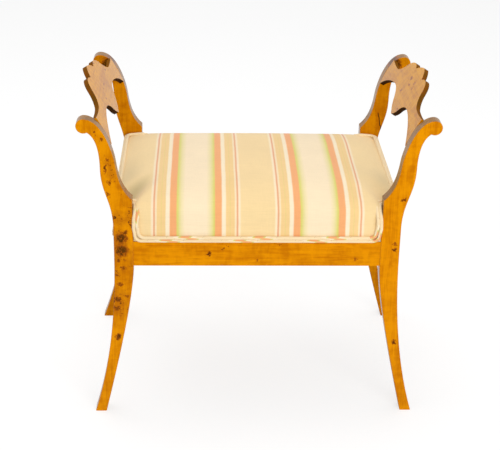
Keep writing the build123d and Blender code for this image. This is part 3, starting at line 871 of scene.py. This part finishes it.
def seat_height(x, y, seat):
    """Height of the top of the seat over a place, before the cloth is blown up."""
    across = np.clip(np.abs(x) / COVER_SIDE, 0, 1)
    depth = np.abs(y)
    swell = 1 - SIDE_LOSS * across**SIDE_POWER
    edge = seat.side_rise + (seat.middle_rise - seat.side_rise) * swell - seat.fall * y / COVER_FACE
    roll_end = COVER_FACE - seat.roll * (1 - math.sin(seat.slope))
    share = np.clip((depth - seat.crown_half) / (roll_end - seat.crown_half), 0, 1)
    top = edge + seat.crown * swell * (1 - share**2)
    inside = np.clip(depth - COVER_FACE + seat.roll, 0, seat.roll)
    rolled = edge - seat.roll * math.cos(seat.slope) + np.sqrt(np.maximum(seat.roll**2 - inside**2, 0))
    return np.where(depth > roll_end, rolled, top)


def seat_plan(x, y, clear):
    """Whether a place lies in the plan of the seat, which steps round the posts."""
    inside = (np.abs(x) <= COVER_SIDE - clear) & (np.abs(y) <= COVER_FACE - clear)
    beside = (np.abs(x) <= POST_INNER - clear) | (np.abs(y) <= POST_BACK - clear)
    return inside & beside


def seat_block(seat):
    """The seat as a closed block of columns, remeshed."""
    count_x = int(round(2 * COVER_SIDE / SEAT_STEP))
    count_y = int(round(2 * COVER_FACE / SEAT_STEP))
    xs = np.linspace(-COVER_SIDE, COVER_SIDE, count_x + 1)
    ys = np.linspace(-COVER_FACE, COVER_FACE, count_y + 1)
    middle_x, middle_y = np.meshgrid((xs[:-1] + xs[1:]) / 2, (ys[:-1] + ys[1:]) / 2, indexing="ij")
    full = seat_plan(middle_x, middle_y, SEAT_CLEAR)
    grid_x, grid_y = np.meshgrid(xs, ys, indexing="ij")
    top = seat_height(grid_x, grid_y, seat)
    levels = (top, np.full_like(top, seat.base))
    points = [np.stack([grid_x, grid_y, level], axis=-1).reshape(-1, 3) for level in levels]
    under = top.size
    index = np.arange(top.size).reshape(top.shape)
    padded = np.pad(full, 1)
    faces = []
    for i, j in zip(*np.nonzero(full)):
        ring = [int(index[i + a, j + b]) for a, b in ((0, 0), (1, 0), (1, 1), (0, 1))]
        faces.append(ring)
        faces.append([corner + under for corner in reversed(ring)])
        for number, (a, b) in enumerate(((0, -1), (1, 0), (0, 1), (-1, 0))):
            if not padded[i + 1 + a, j + 1 + b]:
                first = ring[number]
                second = ring[(number + 1) % 4]
                faces.append((second, first, first + under, second + under))
    mesh = bpy.data.meshes.new("seat_block")
    mesh.from_pydata(np.concatenate(points).tolist(), [], faces)
    made = new_object("seat_block", mesh)
    remesh = made.modifiers.new("Remesh", "REMESH")
    remesh.mode = "VOXEL"
    remesh.voxel_size = seat.voxel
    return baked("seat_block", made)


def coordinates(mesh):
    """The points of a mesh as an array."""
    points = np.empty(len(mesh.vertices) * 3)
    mesh.vertices.foreach_get("co", points)
    return points.reshape(-1, 3)


def move_points(mesh, points):
    """Put the points of a mesh at new places."""
    mesh.vertices.foreach_set("co", points.ravel())
    mesh.update()


def blow_up(block, seat):
    """Fill the seat's cloth with pressure, held where it is tacked or sewn, and keep the result."""
    start = coordinates(block.data)
    x, y, z = np.abs(start).T
    low = z < seat.base + HELD_BASE
    near_post = (x > POST_INNER - HELD_POST) & (y > POST_BACK - HELD_POST)
    side = (x > COVER_SIDE - HELD_SIDE) & (np.abs(z - seat.side_rise) < HELD_SIDE)
    hold = block.vertex_groups.new(name="held")
    hold.add(np.nonzero(low | near_post | side)[0].tolist(), 1.0, "REPLACE")
    cloth = block.modifiers.new("Cloth", "CLOTH")
    settings = cloth.settings
    settings.quality = 6
    settings.mass = 0.3
    settings.use_pressure = True
    settings.uniform_pressure_force = seat.pressure
    settings.vertex_group_mass = hold.name
    settings.effector_weights.gravity = 0.0
    scene = bpy.context.scene
    for step in range(1, seat.steps + 1):
        scene.frame_set(step)
    graph = bpy.context.evaluated_depsgraph_get()
    moved = bpy.data.meshes.new_from_object(block.evaluated_get(graph))
    shift = coordinates(moved) - start
    bpy.data.meshes.remove(moved)
    block.modifiers.remove(cloth)
    scene.frame_set(1)
    length = np.maximum(np.linalg.norm(shift, axis=1), 1e-9)
    shift *= np.minimum(1.0, seat.reach / length)[:, None]
    move_points(block.data, start + shift)


def pull_corners(mesh, seat):
    """Press the slanting pulls into the top beside the front posts."""
    points = coordinates(mesh)
    ridge_share, ridge_place, ridge_width = RIDGE
    for side, share in PULLS:
        ends = (PULL_START, PULL_END)
        start, end = np.array([(side * (POST_INNER + past), behind - POST_BACK) for past, behind in ends])
        way = end - start
        along = np.clip(((points[:, :2] - start) @ way) / (way @ way), -0.2, 1.0)
        offset = points[:, :2] - start - along[:, None] * way
        gap = np.linalg.norm(offset, axis=1)
        ahead = gap * np.sign(-offset[:, 1])
        fading = np.clip(1.0 - np.maximum(along, 0.0), 0, 1) ** 1.2
        ridge = ridge_share * np.exp(-(((ahead - ridge_place) / ridge_width) ** 2))
        fold = np.exp(-((gap / PULL_WIDTH) ** 2)) - ridge
        inward = np.clip((COVER_SIDE - PULL_MARGIN - np.abs(points[:, 0])) / PULL_GROWTH, 0, 1)
        depth = seat.dent * share * fading * fold * inward
        top = points[:, 2] > seat.side_rise - PULL_DEPTH
        points[:, 2] -= np.where(top, depth, 0.0)
    move_points(mesh, points)


def relax(piece, rounds):
    """Even out the mesh of a piece with a modifier."""
    modifier = piece.modifiers.new("Relax", "SMOOTH")
    modifier.factor = 0.5
    modifier.iterations = rounds


class STOOL_OT_seat(bpy.types.Operator):
    """Make the stuffed seat in its striped cover"""

    bl_idname = "stool.seat"
    bl_label = "Seat"

    def execute(self, context):
        seat = context.scene.stool_seat
        block = seat_block(seat)
        relax(block, RELAX_BEFORE)
        block = baked("seat_block", block)
        blow_up(block, seat)
        pull_corners(block.data, seat)
        relax(block, RELAX_AFTER)
        finer = block.modifiers.new("Finer", "SUBSURF")
        finer.levels = 1
        finer.render_levels = 1
        cushion = baked("seat_cushion", block)
        cushion.data.shade_smooth()
        cushion.data.materials.append(striped_cotton("striped_cotton", context.scene.stool_cloth))
        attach(cushion, BODY)
        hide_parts("seat_cover", "stuffing")
        return {"FINISHED"}


def cut_corners(mesh, notch):
    """Delete the faces of a flat mesh that would lie in the posts."""
    work = bmesh.new()
    work.from_mesh(mesh)
    gone = []
    for face in work.faces:
        middle = face.calc_center_median()
        if abs(middle.x) > notch[0] and abs(middle.y) > notch[1]:
            gone.append(face)
    bmesh.ops.delete(work, geom=gone, context="FACES")
    work.to_mesh(mesh)
    work.free()


def sheet_piece(name, mesh, thickness, material):
    """A thin cloth with the given mesh as its middle."""
    piece = new_object(name, mesh)
    wall = piece.modifiers.new("Wall", "SOLIDIFY")
    wall.thickness = thickness
    wall.offset = 0.0
    piece = baked(name, piece)
    piece.data.shade_smooth()
    piece.data.materials.append(material)
    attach(piece, BODY)
    return piece


class STOOL_OT_skirts(bpy.types.Operator):
    """Make the front and the back of the cover where they come down over the rails"""

    bl_idname = "stool.skirts"
    bl_label = "Skirts"

    def execute(self, context):
        material = bpy.data.materials["striped_cotton"]
        half = POST_INNER - SKIRT_CLEAR
        rises, inset = np.array(SKIRT).T
        rises = COVER_BOTTOM + rises
        grid_x, grid_z = np.meshgrid(np.linspace(-half, half, SKIRT_POINTS), rises, indexing="ij")
        depth = COVER_FACE - np.broadcast_to(inset, grid_x.shape)
        for name, end in (("front", -1), ("rear", 1)):
            mesh = grid_mesh(f"skirt_{name}", grid_x, end * depth, grid_z)
            skirt = sheet_piece(f"skirt_{name}", mesh, SKIRT_CLOTH, material)
        return {"FINISHED"}


class STOOL_OT_gussets(bpy.types.Operator):
    """Make the two side gussets of the cover"""

    bl_idname = "stool.gussets"
    bl_label = "Side gussets"

    def execute(self, context):
        material = striped_cotton("gusset_cotton", context.scene.stool_cloth, "Y")
        low, high = GUSSET_LOW, GUSSET_HIGH
        count_along, count_up = GUSSET_POINTS
        runs = (np.linspace(low.y, high.y, count_along), np.linspace(0, 1, count_up))
        grid_y, share = np.meshgrid(*runs, indexing="ij")
        way = (grid_y - low.y) / (high.y - low.y)
        tops = high.z - GUSSET_DROP - GUSSET_FALL * way
        grid_z = low.z + (tops - low.z) * share
        belly = GUSSET_BELLY * np.sin(math.pi * share) * (1 - (2 * way - 1) ** 6)
        for name, side in (("left", -1), ("right", 1)):
            mesh = grid_mesh(f"gusset_{name}", side * (high.x - GUSSET_INSET + belly), grid_y, grid_z)
            gusset = sheet_piece(f"gusset_{name}", mesh, GUSSET_CLOTH, material)
            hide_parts(f"side_gusset_{name}")
        return {"FINISHED"}


def captured(tree, curve, name, output):
    """A curve, and a measure along it that its points keep under a name."""
    measure = node(tree, "GeometryNodeSplineParameter").outputs[output]
    made = node(tree, "GeometryNodeCaptureAttribute", domain="POINT")
    made.capture_items.new("FLOAT", name)
    tree.links.new(curve, made.inputs["Geometry"])
    tree.links.new(measure, made.inputs[name])
    return made.outputs["Geometry"], made.outputs[name]


def cord_tree(material):
    """A tree that rolls each line of a curve into a round cord and keeps the length along it."""
    tree = bpy.data.node_groups.new("Welt cords", "GeometryNodeTree")
    face = tree.interface
    face.new_socket("Lines", in_out="INPUT", socket_type="NodeSocketGeometry")
    for name, kind in (("Radius", "Float"), ("Corner", "Float"), ("Step", "Float"), ("Sides", "Int")):
        face.new_socket(name, in_out="INPUT", socket_type=f"NodeSocket{kind}")
    face.new_socket("Cords", in_out="OUTPUT", socket_type="NodeSocketGeometry")
    inputs = node(tree, "NodeGroupInput").outputs
    values = {"Curve": inputs["Lines"], "Radius": inputs["Corner"], "Count": 8, "Limit Radius": True}
    rounded = node(tree, "GeometryNodeFilletCurve", values, mode="POLY")
    values = {"Curve": rounded.outputs["Curve"], "Length": inputs["Step"]}
    even = node(tree, "GeometryNodeResampleCurve", values, mode="LENGTH")
    line, along = captured(tree, even.outputs["Curve"], "along", "Length")
    values = {"Resolution": inputs["Sides"], "Radius": inputs["Radius"]}
    circle = node(tree, "GeometryNodeCurvePrimitiveCircle", values)
    ring, around = captured(tree, circle.outputs["Curve"], "around", "Factor")
    values = {"Curve": line, "Profile Curve": ring, "Fill Caps": True}
    cords = node(tree, "GeometryNodeCurveToMesh", values).outputs["Mesh"]
    for name, value in (("along", along), ("around", around)):
        values = {"Geometry": cords, "Name": name, "Value": value}
        stored = node(tree, "GeometryNodeStoreNamedAttribute", values, data_type="FLOAT", domain="POINT")
        cords = stored.outputs["Geometry"]
    cords = node(tree, "GeometryNodeSetShadeSmooth", {"Geometry": cords}).outputs["Geometry"]
    cords = node(tree, "GeometryNodeRealizeInstances", {"Geometry": cords}).outputs["Geometry"]
    painted = node(tree, "GeometryNodeSetMaterial", {"Geometry": cords, "Material": material})
    node(tree, "NodeGroupOutput", {"Cords": painted.outputs["Geometry"]})
    return tree


def set_inputs(modifier, values):
    """Set a tree's named inputs on its modifier."""
    for item in modifier.node_group.interface.items_tree:
        if item.in_out == "INPUT" and item.name in values:
            modifier[item.identifier] = values[item.name]


def line_object(name, lines):
    """A curve object with one straight-run line for each list of points; closed where it is marked."""
    data = bpy.data.curves.new(name, "CURVE")
    data.dimensions = "3D"
    for points, closed in lines:
        spline = data.splines.new("POLY")
        spline.points.add(len(points) - 1)
        for slot, point in zip(spline.points, points):
            slot.co = (*point, 1.0)
        spline.use_cyclic_u = closed
    return new_object(name, data)


def welt_line(row, welt, seat):
    """Points of one cord of the welt, all round the main panel of the cover."""
    pitch = CORD_PITCH * welt.radius
    inner = POST_INNER - CORD_CLEAR - welt.radius - row * pitch
    face = COVER_FACE - CORD_SINK + welt.radius
    low = WELT_LOW.z + welt.radius + row * pitch
    beside = POST_BACK - CORD_CLEAR - welt.radius - row * pitch
    edge = COVER_SIDE - CORD_SINK - row * CORD_INSET
    points = []
    for side in (1, -1):
        ends = (-1, 1) if side > 0 else (1, -1)
        for end in ends:
            top = seat.side_rise - end * seat.fall
            lift = REAR_LIFT if end > 0 else 0.0
            corner = [
                (side * inner, end * face, low),
                (side * inner, end * face, low + 0.014),
                (side * (inner + 0.0020), end * (face + 0.0004), low + 0.026),
                (side * (inner + 0.0015), end * (face - 0.0008), top - 0.022),
                (side * inner, end * (face - 0.006), top - 0.011),
                (side * inner, end * (face - 0.016), top - 0.003),
                (side * inner, end * beside, top + 0.001 + lift),
                (side * edge, end * beside, top - 0.0030 + row * CORD_RISE + lift),
            ]
            points += corner if end == ends[0] else corner[::-1]
    return points


class STOOL_OT_welts(bpy.types.Operator):
    """Make the double welt round the cover and along the side rails"""

    bl_idname = "stool.welts"
    bl_label = "Double welt"

    def execute(self, context):
        welt = context.scene.stool_welt
        seat = context.scene.stool_seat
        tree = cord_tree(welt_cotton("welt_cotton", context.scene.stool_cloth))
        loop = [(welt_line(row, welt, seat), True) for row in (0, 1)]
        low, high = WELT_LOW, WELT_HIGH
        pieces = {"welt_loop": (loop, ("welt_front", "welt_rear"))}
        for name, side in (("left", -1), ("right", 1)):
            lines = []
            for row in (0, 1):
                z = low.z + welt.radius * (1 + CORD_PITCH * row)
                x = side * (high.x - welt.radius)
                lines.append(([(x, low.y, z), (x, high.y, z)], False))
            pieces[f"welt_side_{name}"] = (lines, (f"welt_{name}",))
        values = {"Radius": welt.radius, "Corner": welt.corner, "Step": welt.step, "Sides": welt.sides}
        for name, (lines, nodes) in pieces.items():
            cords = line_object(name, lines)
            roll = cords.modifiers.new("Welt cords", "NODES")
            roll.node_group = tree
            set_inputs(roll, values)
            cords = baked(name, cords)
            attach(cords, BODY)
            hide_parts(*nodes)
        return {"FINISHED"}


class STOOL_OT_webbing(bpy.types.Operator):
    """Make the woven jute webbing under the seat"""

    bl_idname = "stool.webbing"
    bl_label = "Webbing"

    def execute(self, context):
        material = plain_weave("jute_webbing", context.scene.stool_cloth.jute, *WEBBING_WEAVE)
        for name in LONG_WEBS + CROSS_WEBS:
            low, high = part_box(name)
            spans = [(low.x, high.x), (low.y, high.y)]
            if name in CROSS_WEBS:
                spans.reverse()
            runs = [np.linspace(*span, count) for span, count in zip(spans, STRAP_POINTS)]
            along, across = np.meshgrid(*runs, indexing="ij")
            plan = (along, across) if name in LONG_WEBS else (across, along)
            mesh = grid_mesh(f"strap_{name}", *plan, self.rise(name, along))
            strap = sheet_piece(f"strap_{name}", mesh, STRAP_CLOTH, material)
            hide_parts(name)
        return {"FINISHED"}

    @staticmethod
    def rise(name, along):
        """Height of a strap's middle along its run: a cross strap goes over and under the long ones."""
        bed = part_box("webbing_long_1")
        level = (bed[0].z + bed[1].z) / 2
        if name in LONG_WEBS:
            return np.full_like(along, level)
        first = 1 if CROSS_WEBS.index(name) % 2 else -1
        middles = [(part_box(web)[0].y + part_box(web)[1].y) / 2 for web in LONG_WEBS]
        pitch = middles[1] - middles[0]
        wave = np.cos(math.pi * (along - middles[0]) / pitch)
        end = np.abs(middles[-1]) + STRAP_RUN * pitch
        inside = np.clip((end - np.abs(along)) / (STRAP_FADE * pitch), 0, 1)
        return level + first * STRAP_WAVE * np.clip(STRAP_STEEP * wave, -1, 1) * inside


class STOOL_OT_hessian(bpy.types.Operator):
    """Make the hessian that lies over the webbing"""

    bl_idname = "stool.hessian"
    bl_label = "Hessian"

    def execute(self, context):
        low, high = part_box("hessian")
        material = plain_weave("hessian", context.scene.stool_cloth.hessian, *HESSIAN_WEAVE)
        notch_x = POST_INNER - HESSIAN_CLEAR
        notch_y = POST_BACK - HESSIAN_CLEAR
        count_x, count_y = HESSIAN_POINTS
        xs = np.concatenate([[low.x], np.linspace(-notch_x, notch_x, count_x), [high.x]])
        ys = np.concatenate([[low.y], np.linspace(-notch_y, notch_y, count_y), [high.y]])
        grid_x, grid_y = np.meshgrid(xs, ys, indexing="ij")
        sag = HESSIAN_SAG * np.sin(grid_x * HESSIAN_WAVES[0]) * np.sin(grid_y * HESSIAN_WAVES[1])
        mesh = grid_mesh("hessian_cloth", grid_x, grid_y, (low.z + high.z) / 2 + sag)
        cut_corners(mesh, (notch_x, notch_y))
        cloth = sheet_piece("hessian_cloth", mesh, HESSIAN_CLOTH, material)
        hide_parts("hessian")
        return {"FINISHED"}


def seen(tree):
    """1 for rays from the camera, also by way of a mirror or glass, and 0 for all others."""
    rays = node(tree, "ShaderNodeLightPath").outputs
    direct = larger(tree, rays["Is Camera Ray"], rays["Is Glossy Ray"])
    return larger(tree, direct, rays["Is Transmission Ray"])


class STOOL_OT_stage(bpy.types.Operator):
    """Set up the floor, the lights and the camera"""

    bl_idname = "stool.stage"
    bl_label = "Stage"

    def execute(self, context):
        stage = context.scene.stool_stage
        context.scene.view_settings.view_transform = "Standard"
        self.camera(context, stage)
        self.floor(stage)
        self.lamp("key_light", *KEY_LAMP, stage.key_power)
        self.lamp("top_light", *TOP_LAMP, stage.top_power)
        self.sky(context, stage)
        return {"FINISHED"}

    @staticmethod
    def camera(context, stage):
        """The camera, turned by yaw, pitch and roll."""
        data = bpy.data.cameras.new("camera")
        data.sensor_width = SENSOR
        data.lens = stage.lens
        made = new_object("camera", data)
        yaw, pitch, roll = stage.camera_yaw, stage.camera_pitch, stage.camera_roll
        level = math.cos(pitch)
        ahead = Vector((-math.sin(yaw) * level, math.cos(yaw) * level, -math.sin(pitch)))
        right = Vector((math.cos(yaw), math.sin(yaw), 0))
        down = ahead.cross(right)
        rolled = math.cos(roll) * right + math.sin(roll) * down
        lower = -math.sin(roll) * right + math.cos(roll) * down
        turn = Matrix((rolled, -lower, -ahead)).transposed()
        made.matrix_world = Matrix.Translation(stage.camera_place) @ turn.to_4x4()
        context.scene.camera = made

    @staticmethod
    def floor(stage):
        """A wide pale floor that keeps a faint shadow."""
        ends = (-FLOOR_HALF, FLOOR_HALF)
        grid_x, grid_y = np.meshgrid(ends, ends, indexing="ij")
        floor = new_object("floor", grid_mesh("floor", grid_x, grid_y, np.zeros_like(grid_x)))
        floor.data.flip_normals()
        material = bpy.data.materials.new("pale_floor")
        material.use_nodes = True
        tree = material.node_tree
        shader = tree.nodes["Principled BSDF"]
        set_shader(shader, {"Base Color": (*stage.floor_colour, 1.0)})
        set_shader(shader, {"Roughness": 0.9, "Specular IOR Level": 0.1})
        glow = node(tree, "ShaderNodeEmission", {"Color": (1, 1, 1, 1), "Strength": stage.floor_glow})
        values = {0: times(tree, seen(tree), stage.glow_share), 1: shader.outputs[0], 2: glow.outputs[0]}
        mixed = node(tree, "ShaderNodeMixShader", values)
        tree.links.new(mixed.outputs[0], tree.nodes["Material Output"].inputs["Surface"])
        floor.data.materials.append(material)

    @staticmethod
    def lamp(name, place, target, size, power):
        """A square soft lamp that looks at a point."""
        data = bpy.data.lights.new(name, "AREA")
        data.size = size
        data.energy = power
        made = new_object(name, data)
        made.location = place
        made.rotation_euler = (Vector(target) - Vector(place)).to_track_quat("-Z", "Y").to_euler()

    @staticmethod
    def sky(context, stage):
        """White where it is seen or mirrored, and an even soft light elsewhere."""
        world = bpy.data.worlds.new("studio")
        world.use_nodes = True
        context.scene.world = world
        tree = world.node_tree
        back = tree.nodes["Background"]
        back.inputs["Color"].default_value = (1, 1, 1, 1)
        strength = times_plus(tree, seen(tree), 1.0 - stage.sky, stage.sky)
        tree.links.new(strength, back.inputs["Strength"])


OPERATORS = (
    STOOL_OT_stage,
    STOOL_OT_show_wood,
    STOOL_OT_hidden_frame,
    STOOL_OT_seat,
    STOOL_OT_skirts,
    STOOL_OT_gussets,
    STOOL_OT_welts,
    STOOL_OT_webbing,
    STOOL_OT_hessian,
)

SETTINGS = {
    "stool_wood": WoodSettings,
    "stool_cloth": ClothSettings,
    "stool_seat": SeatSettings,
    "stool_welt": WeltSettings,
    "stool_stage": StageSettings,
}


class STOOL_PT_panel(bpy.types.Panel):
    """Sidebar panel with the stool's settings and steps"""

    bl_idname = "STOOL_PT_panel"
    bl_label = "Window Stool"
    bl_space_type = "VIEW_3D"
    bl_region_type = "UI"
    bl_category = "Stool"

    def draw(self, context):
        for operator in OPERATORS:
            self.layout.operator(operator.bl_idname)
        for key in SETTINGS:
            group = getattr(context.scene, key)
            box = self.layout.box()
            for name in group.bl_rna.properties.keys():
                if name not in ("rna_type", "name"):
                    box.prop(group, name)


def register():
    """Register the classes and hang the settings on the scene."""
    for made in (*SETTINGS.values(), *OPERATORS, STOOL_PT_panel):
        bpy.utils.register_class(made)
    for key, group in SETTINGS.items():
        setattr(bpy.types.Scene, key, PointerProperty(type=group))


def unregister():
    """Take the settings and the classes away again."""
    for key in SETTINGS:
        delattr(bpy.types.Scene, key)
    for made in (STOOL_PT_panel, *reversed(OPERATORS), *reversed(SETTINGS.values())):
        bpy.utils.unregister_class(made)


def main():
    """Dress the frame."""
    register()
    for operator in OPERATORS:
        group, step = operator.bl_idname.split(".")
        getattr(getattr(bpy.ops, group), step)()


if __name__ == "__main__":
    main()
